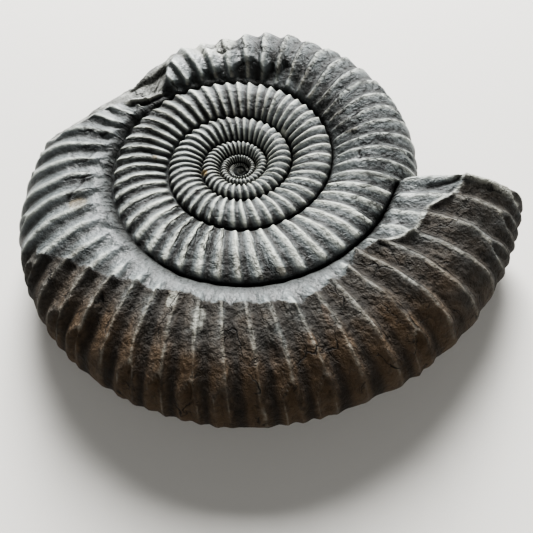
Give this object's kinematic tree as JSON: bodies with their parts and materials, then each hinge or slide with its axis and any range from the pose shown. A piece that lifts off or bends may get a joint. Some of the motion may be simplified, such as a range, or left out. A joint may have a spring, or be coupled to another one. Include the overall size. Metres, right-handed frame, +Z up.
{
  "type": "dactylioceras ammonite fossil",
  "caption": "Coiled, strongly ribbed ammonite fossil in dark stone, with a broken outer corner, lying on its reverse flank.",
  "frame": {"origin": "middle of the bounding box in plan, on the surface that the fossil lies on", "axes": "+Z up along the coil's axis, out of the flank that the picture shows; +X towards the aperture end; the shell grows anticlockwise seen from +Z"},
  "size_m": [0.0806, 0.074, 0.0159],
  "materials": {
    "dark_stone": "dark slate-grey shell stone with pale worn rib crests, brown dirt in the hollows and a dull natural polish"
  },
  "bodies": {
    "root": {"ammonite": "dark_stone"}
  },
  "joints": []
}
